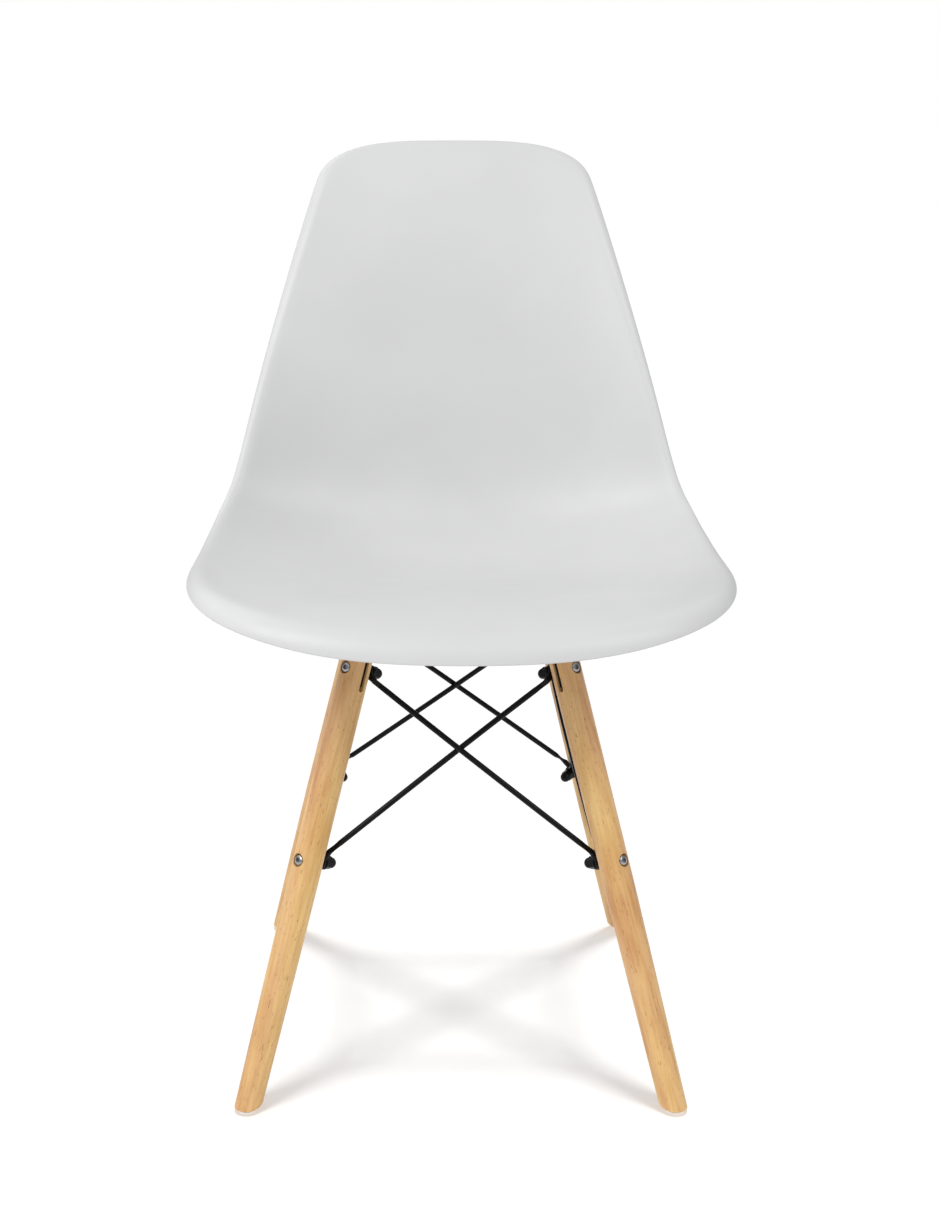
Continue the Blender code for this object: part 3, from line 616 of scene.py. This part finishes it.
class ShellSurface:
    """The sitting side of the shell, as a function of distance along the middle and across it."""

    def __init__(self):
        line = b_spline(SHELL_LINE, LINE_STEPS)
        steps = np.hypot(*np.diff(line, axis=0).T)
        self.along = np.concatenate([[0], np.cumsum(steps)])
        slope = np.gradient(line, self.along, axis=0)
        slope /= np.linalg.norm(slope, axis=1)[:, None]
        spread = np.where(self.along < RISE_PEAK, RISE_SEAT, RISE_BACK)
        rise = SIDE_RISE * np.exp(-(((self.along - RISE_PEAK) / spread) ** 2))
        self.line = np.column_stack([line, rise, -slope[:, 1], slope[:, 0]])

    def point(self, along, across, drop=0.0):
        """Points on the sitting side, or a drop below it."""
        y, z, rise, normal_y, normal_z = (np.interp(along, self.along, c) for c in self.line.T)
        lift = rise * np.abs(across / SHELL_REACH) ** SHELL_DISH - drop
        return np.stack([across + 0 * y, y + normal_y * lift, z + normal_z * lift], axis=-1)

    def seat_height(self, x, y):
        """Height of the sitting surface near a point of the seat."""
        along = np.interp(y, self.line[:, 0], self.along)
        return float(self.point(along, x)[2])


def shell_outline(length):
    """Half of the outline laid flat, as (distance along the middle, half width), evenly spaced."""
    turn = np.linspace(0, math.pi / 2, OUTLINE_SAMPLES)
    rise, fall = np.sin(turn), np.cos(turn)
    front = FRONT_CORNER * (1 - fall ** (2 / FRONT_POWER))
    top = length - TOP_CORNER * (1 - rise ** (2 / TOP_POWER))
    along = np.concatenate([front, np.linspace(front[-1], top[0], OUTLINE_SAMPLES), top])
    straight = np.ones(OUTLINE_SAMPLES)
    share = np.concatenate([rise ** (2 / FRONT_POWER), straight, fall ** (2 / TOP_POWER)])
    past = along - TAPER_START
    across = share * (SEAT_HALF_WIDTH - TAPER * (past + np.hypot(past, TAPER_EASE)) / 2)
    run = np.concatenate([[0], np.cumsum(np.hypot(np.diff(along), np.diff(across)))])
    even = np.linspace(0, run[-1], SHELL_RIBS + 1)
    outline = np.column_stack([np.interp(even, run, along), np.interp(even, run, across)])
    outline[[0, -1], 1] = 0
    return outline


def shell_half(surface):
    """The right half of the sitting side: ribs from the middle to the outline, and rings across."""
    outline = shell_outline(surface.along[-1])
    q = np.linspace(0, 1, len(outline))
    turn = np.radians(np.interp(q, np.linspace(0, 1, len(RIM_TURN)), RIM_TURN))
    radius = np.interp(q, np.linspace(0, 1, len(RIM_RADII)), RIM_RADII)
    spine = SPINE_START + (SPINE_END - SPINE_START) * outline[:, 0] / surface.along[-1]
    reach = np.hypot(outline[:, 0] - spine, outline[:, 1])
    rows = []
    for ring in range(DISH_RINGS + RIM_RINGS + 1):
        rolled = max(ring - DISH_RINGS, 0) / RIM_RINGS * turn
        edge = radius * (np.sin(turn) - np.sin(rolled))
        inner = min(ring / DISH_RINGS, 1)
        share = inner * (1 - edge / reach)
        along = spine + (outline[:, 0] - spine) * share
        rows.append(surface.point(along, outline[:, 1] * share, radius * (1 - np.cos(rolled))))
    ribs = len(outline)
    faces = [
        (a, a + ribs, a + ribs + 1, a + 1)
        for a in (row * ribs + rib for row in range(len(rows) - 1) for rib in range(ribs - 1))
    ]
    return np.concatenate(rows), faces


def boss_mesh(top):
    """A moulded boss, flared where it meets the shell, with the insert's hole up its middle."""
    hole = INSERT_RADIUS + TOUCH
    turns = (math.pi / 2 * (1 - step / BOSS_FLARE_STEPS) for step in range(BOSS_FLARE_STEPS))
    flare = [
        (BOSS_RADIUS + BOSS_FLARE * (1 - math.cos(turn)), top - BOSS_FLARE * (1 - math.sin(turn)))
        for turn in turns
    ]
    corners = [(BOSS_RADIUS, top - BOSS_FLARE), (BOSS_RADIUS, BOSS_FACE), (hole, BOSS_FACE)]
    end = BOSS_FACE + INSERT_HOLE_DEPTH
    return turned([(0, top), *flare, *rounded(corners, BOSS_FILLET), (hole, end), (0, end)])


def seat_shell(material):
    surface = ShellSurface()
    points, faces = shell_half(surface)
    mesh = bpy.data.meshes.new("shell")
    mesh.from_pydata(points.tolist(), [], faces)
    half = temporary("shell", mesh)
    mirror = half.modifiers.new("other half", "MIRROR")
    mirror.merge_threshold = MERGE
    wall = half.modifiers.new("wall", "SOLIDIFY")
    wall.thickness = SHELL_WALL
    wall.offset = -1
    wall.use_even_offset = True
    eased(half, "rim edges", RIM_EASE, RIM_EASE_STEPS)
    meshes = [evaluated(half)]
    bpy.data.objects.remove(half)
    for side_x, side_y in CORNERS.values():
        x, y = side_x * FIXING_SPREAD, BASE.y + side_y * FIXING_SPREAD
        boss = boss_mesh(surface.seat_height(x, y) - SHELL_WALL / 2)
        boss.transform(Matrix.Translation((x, y, 0)))
        meshes.append(boss)
    fine_piece("seat_shell", joined(meshes), material)


# ---------------------------------------------------------------- legs and glides

# Where each leg was cut from the plank: (across, across, along), in metres from the tree's heart.
LEG_STARTS = {
    "front_left": (0.041, 0.013, 0.70),
    "front_right": (-0.020, 0.034, 1.90),
    "back_left": (0.012, -0.047, 3.10),
    "back_right": (-0.045, -0.016, 4.40),
}


def leg_frame(where):
    """+Z runs up the leg's axis from the floor, and +X points outwards across it."""
    out = Vector((*CORNERS[where], 0)).normalized()
    up = Vector((0, 0, math.cos(LEAN))) - out * math.sin(LEAN)
    across = Vector((0, 0, math.sin(LEAN))) + out * math.cos(LEAN)
    placed = Matrix((across, up.cross(across), up)).transposed().to_4x4()
    placed.translation = (FEET[where].x, FEET[where].y, 0)
    return placed


def leg_mesh():
    """One leg in its own frame, sawn and drilled."""
    top = rounded([(0, LEG_TOP), (LEG_RADIUS, LEG_TOP), (LEG_RADIUS, TAPER_END)], LEG_CHAMFER)
    taper = []
    for row in range(1, LEG_ROWS + 1):
        height = TAPER_END + (LEG_STOCK_END - TAPER_END) * row / LEG_ROWS
        share = (TAPER_END - height) / (TAPER_END - LEG_STOCK_END)
        radius = LEG_RADIUS - (LEG_RADIUS - FOOT_RADIUS) * share**TAPER_POWER
        taper.append((radius, height))
    stock = turned([*top, *taper, (0, LEG_STOCK_END)])

    kerf_low = LEG_TOP - KERF_DEPTH + KERF_WIDTH / 2
    half = KERF_WIDTH / 2
    across = Matrix.Translation((0, 0, kerf_low)) @ Matrix.Rotation(math.pi / 2, 4, "X")
    kerf = block((-half, -CUT_REACH, kerf_low), (half, CUT_REACH, LEG_TOP + OVERCUT))
    kerf_end = cylinder(half, -CUT_REACH, CUT_REACH)
    tools = [("DIFFERENCE", kerf, Matrix()), ("DIFFERENCE", kerf_end, across)]
    sink_low = LEG_RADIUS - COUNTERBORE_DEPTH
    for height in (UPPER_BOLT, LOWER_BOLT):
        hole = cylinder(BOLT_HOLE_RADIUS, -CUT_REACH, CUT_REACH)
        tools.append(("DIFFERENCE", hole, along_x(height)))
        sink = cylinder(COUNTERBORE_RADIUS, sink_low, CUT_REACH)
        tools.append(("DIFFERENCE", sink, along_x(height)))

    # The foot is sawn level with the floor, which is tilted in the leg's own frame.
    level = Matrix.Rotation(LEAN, 4, "Y")
    flared = (FOOT_FLAT_RADIUS + SAW_FLARE, FOOT_CUT + SAW_FLARE)
    edge = rounded([(0, FOOT_CUT), (FOOT_FLAT_RADIUS, FOOT_CUT), flared], FOOT_FILLET)
    outer = [(SAW_RADIUS, FOOT_CUT + SAW_FLARE), (SAW_RADIUS, -SAW_RADIUS), (0, -SAW_RADIUS)]
    tools.append(("DIFFERENCE", turned([edge[-1], *outer, *edge]), level))
    socket = cylinder(GLIDE_PIN_RADIUS + TOUCH, -OVERCUT, GLIDE_PIN_TOP + TOUCH, ROD_SIDES)
    tools.append(("DIFFERENCE", socket, level))
    return cut(stock, tools)


def grained(mesh, start):
    """A copy whose grain attribute says where in the plank each point lies."""
    mesh = mesh.copy()
    points = np.empty(len(mesh.vertices) * 3, np.float32)
    mesh.vertices.foreach_get("co", points)
    points = points.reshape(-1, 3) + np.array(start, np.float32)
    grain = mesh.attributes.new("grain", "FLOAT_VECTOR", "POINT")
    grain.data.foreach_set("vector", points.ravel())
    return mesh


def glide_mesh():
    """A glide standing on Z = 0, with its pin pointing up."""
    top = FOOT_CUT - TOUCH
    shoulder = [
        (GLIDE_PIN_RADIUS, GLIDE_PIN_TOP - GLIDE_POINT),
        (GLIDE_PIN_RADIUS, top),
        (GLIDE_RADIUS, top),
        (GLIDE_RADIUS, GLIDE_EDGE_HEIGHT),
        (GLIDE_FLAT_RADIUS, 0),
        (0, 0),
    ]
    return turned([(0, GLIDE_PIN_TOP), *rounded(shoulder, GLIDE_FILLET)])


# ---------------------------------------------------------------- crossed bars under the seat


def bar_path(crank):
    """Half of a bar's middle line, as (distance from the chair's axis, height), middle first."""
    level = BAR_TOP - BAR_THICKNESS / 2
    low = level - crank
    foot = (FEET["front_left"] - BASE).xy.length
    corner = foot - level * math.tan(LEAN)
    bend = math.pi / 2 - LEAN
    setback = BAR_BEND * math.tan(bend / 2)
    if crank:
        path = [(0, low)]
        for step in range(CRANK_STEPS + 1):
            share = step / CRANK_STEPS
            distance = CRANK_FLAT + (CRANK_END - CRANK_FLAT) * share
            path.append((distance, low + crank * smooth(share)))
    else:
        path = [(0, level)]
    for step in range(BAR_BEND_STEPS + 1):
        angle = bend * step / BAR_BEND_STEPS
        path.append(
            (corner - setback + BAR_BEND * math.sin(angle), level - BAR_BEND * (1 - math.cos(angle)))
        )
    path.append((foot - TONGUE_END * math.sin(LEAN), TONGUE_END * math.cos(LEAN)))
    return path


def crossbar(node_name, towards, crank, material):
    """A bar from the leg at one corner to the leg opposite."""
    half = bar_path(crank)
    path = [(-r, z) for r, z in reversed(half[1:])] + half
    width = BAR_WIDTH / 2
    points = [(r, side * width, z) for side in (-1, 1) for r, z in path]
    count = len(path)
    faces = [(i, i + 1, i + 1 + count, i + count) for i in range(count - 1)]
    strip = bpy.data.meshes.new("strip")
    strip.from_pydata(points, [], faces)
    bar = temporary("bar", strip)
    thick = bar.modifiers.new("thickness", "SOLIDIFY")
    thick.thickness = BAR_THICKNESS
    thick.offset = 0
    thick.use_even_offset = True
    eased(bar, "edges", BAR_EDGE, BAR_EDGE_STEPS)
    solid = evaluated(bar)
    bpy.data.objects.remove(bar)

    side_x, side_y = CORNERS[towards]
    placed = Matrix.Translation(BASE) @ Matrix.Rotation(math.atan2(side_y, side_x), 4, "Z")
    back = placed.inverted()
    fixing = math.sqrt(2) * FIXING_SPREAD
    tools = []
    for at in (-fixing, 0, fixing):
        hole = cylinder(BOLT_HOLE_RADIUS, BAR_TOP - CUT_REACH, BAR_TOP + CUT_REACH, HOLE_SIDES)
        tools.append(("DIFFERENCE", hole, Matrix.Translation((at, 0, 0))))
    opposite = {ends: where for where, ends in CORNERS.items()}
    for where in (towards, opposite[-side_x, -side_y]):
        hole = cylinder(BOLT_HOLE_RADIUS, -CUT_REACH, CUT_REACH, HOLE_SIDES)
        tools.append(("DIFFERENCE", hole, back @ leg_frame(where) @ along_x(UPPER_BOLT)))
    fine_piece(node_name, cut(solid, tools), material, placed)


# ---------------------------------------------------------------- fasteners


def socket_screw(head, length):
    """A button-headed screw with a hexagon socket: head below Z = 0, shank above."""
    radius, height = head
    corners = [
        (0, length),
        (BOLT_RADIUS, length),
        (BOLT_RADIUS, 0),
        (radius, 0),
        *((across * radius, -up * height) for across, up in BUTTON_HEAD),
        (0, -height),
    ]
    screw = turned(rounded(corners, SCREW_FILLET))
    socket = cylinder(SOCKET_RADIUS, -height - OVERCUT, SOCKET_DEPTH - height, 6)
    return cut(screw, [("DIFFERENCE", socket, Matrix())])


def ring_mesh(radius, bore, height):
    """A washer or bush standing on Z = 0."""
    start = ((bore + radius) / 2, height)
    corners = (start, (radius, height), (radius, 0), (bore, 0), (bore, height), start)
    return turned(rounded(corners, RING_FILLET))


def hexagon():
    """A nut's plain prism, and the cut that chamfers its corners at both ends."""
    prism = cylinder(NUT_HEX_RADIUS, 0, NUT_HEX_HEIGHT, 6)
    profile = (
        (0, NUT_HEX_HEIGHT),
        (NUT_FACE_RADIUS, NUT_HEX_HEIGHT),
        (NUT_HEX_RADIUS, NUT_HEX_HEIGHT - NUT_CHAMFER),
        (NUT_HEX_RADIUS, NUT_CHAMFER),
        (NUT_FACE_RADIUS, 0),
        (0, 0),
    )
    return prism, ("INTERSECT", turned(profile), Matrix())


def hex_nut():
    """A nut standing on Z = 0."""
    prism, chamfer = hexagon()
    bore = cylinder(BOLT_HOLE_RADIUS, -OVERCUT, NUT_HEX_HEIGHT + OVERCUT, HOLE_SIDES)
    return cut(prism, [chamfer, ("DIFFERENCE", bore, Matrix())])


def cap_nut():
    """A domed cap nut: its bearing face is at Z = 0 and its dome points along +Z."""
    prism, chamfer = hexagon()
    turns = (math.pi / 2 * step / NUT_DOME_STEPS for step in range(NUT_DOME_STEPS + 1))
    arc = [
        (NUT_DOME_RADIUS * math.sin(turn), NUT_DOME_BASE + NUT_DOME_RADIUS * math.cos(turn))
        for turn in turns
    ]
    root = NUT_HEX_HEIGHT / 2
    dome = turned([*arc, (NUT_DOME_RADIUS, root), (0, root)])
    bore = cylinder(BOLT_HOLE_RADIUS, -OVERCUT, NUT_BORE_DEPTH, HOLE_SIDES)
    return cut(prism, [chamfer, ("UNION", dome, Matrix()), ("DIFFERENCE", bore, Matrix())])


# ---------------------------------------------------------------- brace rods


def eye_sections(leg, height, layer, aim):
    """Sections of a rod's flattened end, from its tip to where the rod is round.

    The eye lies flat across the leg bolt at the given height, and points as nearly at aim as it can.
    Also returned are the place where the rod becomes round, and its width direction.
    """
    inner = LEG_RADIUS + TOUCH + EYE_HALF_THICKNESS + layer * (2 * EYE_HALF_THICKNESS + TOUCH)
    centre = leg @ Vector((-inner, 0, height))
    flat = (leg.to_3x3() @ Vector((-1, 0, 0))).normalized()
    heading = aim - centre
    heading = (heading - flat * heading.dot(flat)).normalized()
    width = flat.cross(heading)
    sections = []
    for angle in EYE_ANGLES:
        reach = EYE_RADIUS * math.cos(math.radians(angle))
        half = EYE_RADIUS * math.sin(math.radians(angle))
        at = centre + heading * reach
        sections.append((at, width, flat, half, EYE_CREST, EYE_SQUARE))
    last_reach, last_half = reach, half
    for step in range(1, NECK_STEPS + 1):
        share = step / NECK_STEPS
        ease = smooth(share)
        at = centre + heading * (last_reach + (NECK_LENGTH - last_reach) * share)
        sections.append(
            (
                at + flat * NECK_BEND * ease,
                width,
                flat,
                last_half + (ROD_RADIUS - last_half) * math.sqrt(math.sin(math.pi / 2 * share)),
                EYE_CREST + (ROD_RADIUS - EYE_CREST) * ease,
                EYE_SQUARE + (2 - EYE_SQUARE) * ease,
            )
        )
    return sections, centre + heading * NECK_LENGTH + flat * NECK_BEND, width


def brace(node_name, upper, lower, layer, bow, material):
    """One rod, from its eye on the upper bolt of one leg to its eye on the lower bolt of the next."""
    upper_leg, lower_leg = leg_frame(upper), leg_frame(lower)
    # Each eye points at the other bolt, where that bolt leaves the inner side of its leg.
    inset = Vector((-LEG_RADIUS, 0, 0))
    upper_aim = lower_leg @ (inset + Vector((0, 0, LOWER_BOLT)))
    lower_aim = upper_leg @ (inset + Vector((0, 0, UPPER_BOLT)))
    first, start, start_width = eye_sections(upper_leg, UPPER_BOLT, layer, upper_aim)
    last, end, end_width = eye_sections(lower_leg, LOWER_BOLT, layer, lower_aim)

    # From each eye to the crossing the rod bows by a quarter of a sine.
    one, other = Vector((*CORNERS[upper], 0)), Vector((*CORNERS[lower], 0))
    outwards = (one + other) / 2
    sideways = Vector((0, 0, 1)).cross(outwards)
    from_upper, from_lower = (abs((point - BASE).dot(sideways)) for point in (start, end))
    crossing = from_upper / (from_upper + from_lower)
    straight = (end - start).normalized()
    rod = []
    for step in range(ROD_STEPS + 1):
        share = step / ROD_STEPS
        to_crossing = min(share / crossing, (1 - share) / (1 - crossing))
        bowed = outwards * bow * math.sin(math.pi / 2 * to_crossing)
        width = start_width.lerp(-end_width, share)
        width = (width - straight * width.dot(straight)).normalized()
        depth = straight.cross(width)
        rod.append((start.lerp(end, share) + bowed, width, depth, ROD_RADIUS, ROD_RADIUS, 2))
    # The sections of the eyes are turned to face the way that the rod's do.
    head = [(at, w, -d, *rest) for at, w, d, *rest in first]
    tail = [(at, -w, -d, *rest) for at, w, d, *rest in reversed(last)]
    solid = lofted([*head, *rod[1:-1], *tail])
    tools = []
    for leg, height in ((upper_leg, UPPER_BOLT), (lower_leg, LOWER_BOLT)):
        hole = cylinder(EYE_HOLE_RADIUS, -CUT_REACH, 0, HOLE_SIDES)
        tools.append(("DIFFERENCE", hole, leg @ along_x(height)))
    fine_piece(node_name, cut(solid, tools), material)


# ---------------------------------------------------------------- the chair


def build_chair():
    black, zinc, wood = powder_coat(), zinc_plate(), beech()
    nylon, rubber, brass = white_nylon(), matt_rubber(), turned_brass()
    seat_shell(moulded_plastic())
    crossbar("crossbar_upper", "back_right", 0.0, black)
    crossbar("crossbar_lower", "front_right", BAR_CROSSING, black)

    crossing_low = BAR_TOP - BAR_THICKNESS - BAR_CROSSING
    screw = socket_screw(SCREW_HEAD, SCREW_LENGTH)
    washer = ring_mesh(WASHER_RADIUS, BOLT_HOLE_RADIUS, WASHER_HEIGHT)
    insert = ring_mesh(INSERT_RADIUS, BOLT_HOLE_RADIUS, INSERT_LENGTH)
    middle = Matrix.Translation(BASE)
    under_middle = Matrix.Translation((0, 0, crossing_low - TOUCH))
    on_bar = Matrix.Translation((0, 0, BAR_TOP + TOUCH))
    fine_piece("centre_bolt", screw, black, middle @ under_middle)
    fine_piece("centre_nut", hex_nut(), black, middle @ on_bar)

    leg, glide, nut = leg_mesh(), glide_mesh(), cap_nut()
    stack = LEG_RADIUS + 2 * (2 * EYE_HALF_THICKNESS + TOUCH) + TOUCH
    seat_of_head = LEG_RADIUS - COUNTERBORE_DEPTH + TOUCH
    bolt = socket_screw(LEG_BOLT_HEAD, seat_of_head + stack + NUT_BORE_DEPTH - BOLT_END_GAP)
    inwards = Matrix.Rotation(-math.pi / 2, 4, "Y")
    for where, (side_x, side_y) in CORNERS.items():
        placed = leg_frame(where)
        fine_piece(f"leg_{where}", grained(leg, LEG_STARTS[where]), wood, placed)
        foot = Matrix.Translation(placed.translation)
        fine_piece(f"glide_{where}", glide, nylon, foot)
        for level, height in (("upper", UPPER_BOLT), ("lower", LOWER_BOLT)):
            head = Matrix.Translation((seat_of_head, 0, height)) @ inwards
            fine_piece(f"leg_bolt_{level}_{where}", bolt, zinc, placed @ head)
            bearing = Matrix.Translation((-stack, 0, height)) @ inwards
            fine_piece(f"cap_nut_{level}_{where}", nut, black, placed @ bearing)
        fixing = Matrix.Translation((side_x * FIXING_SPREAD, BASE.y + side_y * FIXING_SPREAD, 0))
        under_bar = Matrix.Translation((0, 0, BAR_TOP - BAR_THICKNESS - TOUCH))
        fine_piece(f"seat_screw_{where}", screw, zinc, fixing @ under_bar)
        fine_piece(f"rubber_washer_{where}", washer, rubber, fixing @ on_bar)
        in_boss = Matrix.Translation((0, 0, BOSS_FACE + TOUCH))
        fine_piece(f"threaded_insert_{where}", insert, brass, fixing @ in_boss)

    pairs = {
        "front": ("front_left", "front_right", 0),
        "back": ("back_left", "back_right", 0),
        "left": ("front_left", "back_left", 1),
        "right": ("front_right", "back_right", 1),
    }
    for face, (one, other, layer) in pairs.items():
        brace(f"brace_{face}_outer", one, other, layer, ROD_BOW, black)
        brace(f"brace_{face}_inner", other, one, layer, -ROD_BOW, black)


# ---------------------------------------------------------------- floor, lights and camera

WHITE = (1, 1, 1, 1)
FLOOR_RADIUS, FLOOR_SIDES = 60.0, 96
FLOOR_COLOUR, FLOOR_ROUGHNESS = (0.90, 0.90, 0.90, 1), 0.9
FLOOR_GLOW = 0.37
# Each sun's azimuth and height in degrees, strength, and softness in degrees.
SUNS = {
    "key": (-45, 45, 1.5, 35),
    "fill": (45, 45, 0.95, 35),
    "left": (-90, 40, 0.4, 40),
    "rear_right": (135, 45, 0.2, 40),
    "rear_left": (-135, 45, 0.5, 40),
}
OVERHEAD = (0, 90, 1.2, 9)
AMBIENT = 0.35
CAMERA_OFFSET = (-0.0366, -1.350, 0.7036)  # from the middle of the feet
CAMERA_TILT, CAMERA_TURN = 0.2244, 0.0014  # in radians: down from level, and to the left
CAMERA_LENS, CAMERA_FRAME = 45.32, 36.0  # focal length and frame height, in millimetres
CAMERA_SHIFT = 0.0447  # to the right, as a share of the frame's height


def floor():
    """A pale floor, lit evenly, which shows nothing from below so that the underside can be seen."""
    made, tree, shader = new_material(
        "floor",
        Base_Color=FLOOR_COLOUR,
        Roughness=FLOOR_ROUGHNESS,
        Specular_IOR_Level=0.0,
        Emission_Color=WHITE,
        Emission_Strength=FLOOR_GLOW,
    )
    facing = node(tree, "ShaderNodeNewGeometry").outputs["Backfacing"]
    clear = node(tree, "ShaderNodeBsdfTransparent").outputs[0]
    mix = node(tree, "ShaderNodeMixShader", {0: facing, 1: shader.outputs[0], 2: clear})
    tree.links.new(mix.outputs[0], tree.nodes["Material Output"].inputs["Surface"])
    bm = bmesh.new()
    bmesh.ops.create_circle(bm, cap_ends=True, segments=FLOOR_SIDES, radius=FLOOR_RADIUS)
    mesh = mesh_from(bm, "floor")
    mesh.materials.append(made)
    obj = bpy.data.objects.new("floor", mesh)
    bpy.context.scene.collection.objects.link(obj)
    return obj


def sun(name, azimuth, height, strength, softness):
    """A distant soft light. Its azimuth turns from the front, -Y, towards +X."""
    turn, rise = math.radians(azimuth), math.radians(height)
    way = Vector((math.sin(turn) * math.cos(rise), -math.cos(turn) * math.cos(rise), math.sin(rise)))
    data = bpy.data.lights.new(name, "SUN")
    data.energy = strength
    data.angle = math.radians(softness)
    made = bpy.data.objects.new(name, data)
    made.rotation_euler = way.to_track_quat("Z", "Y").to_euler()
    bpy.context.scene.collection.objects.link(made)
    return made


def light_scene(ground):
    """Soft light all round. One sun, overhead, lights the floor, and only the base shades it."""
    world = bpy.data.worlds.new("studio")
    bpy.context.scene.world = world
    world.use_nodes = True
    tree = world.node_tree
    seen = node(tree, "ShaderNodeLightPath").outputs["Is Camera Ray"]
    backdrop = node(tree, "ShaderNodeBackground", {"Color": WHITE, "Strength": 1.0})
    ambient = tree.nodes["Background"]
    ambient.inputs["Color"].default_value = WHITE
    ambient.inputs["Strength"].default_value = AMBIENT
    mix = node(tree, "ShaderNodeMixShader", {0: seen, 1: ambient.outputs[0], 2: backdrop.outputs[0]})
    tree.links.new(mix.outputs[0], tree.nodes["World Output"].inputs["Surface"])

    all_but_floor = bpy.data.collections.new("all_but_floor")
    all_but_floor.objects.link(ground)
    all_but_floor.collection_objects[0].light_linking.link_state = "EXCLUDE"
    for name, settings in SUNS.items():
        sun(name, *settings).light_linking.receiver_collection = all_but_floor
    only_floor = bpy.data.collections.new("only_floor")
    only_floor.objects.link(ground)
    base = bpy.data.collections.new("base")
    for obj in bpy.data.objects:
        if obj.name.startswith(("fine_leg_", "fine_brace_", "fine_crossbar_", "fine_glide_")):
            base.objects.link(obj)
    overhead = sun("overhead", *OVERHEAD)
    overhead.light_linking.receiver_collection = only_floor
    overhead.light_linking.blocker_collection = base
    bpy.context.scene.view_settings.view_transform = "Standard"


def camera():
    """A camera at the photograph's angle, tilted down a little."""
    data = bpy.data.cameras.new("camera")
    data.sensor_fit = "VERTICAL"
    data.sensor_height = CAMERA_FRAME
    data.lens = CAMERA_LENS
    data.shift_x = CAMERA_SHIFT
    made = bpy.data.objects.new("camera", data)
    made.location = Vector((CAMERA_OFFSET[0], BASE.y + CAMERA_OFFSET[1], CAMERA_OFFSET[2]))
    made.rotation_euler = (math.pi / 2 - CAMERA_TILT, 0, CAMERA_TURN)
    bpy.context.scene.collection.objects.link(made)
    bpy.context.scene.camera = made


build_chair()
light_scene(floor())
camera()
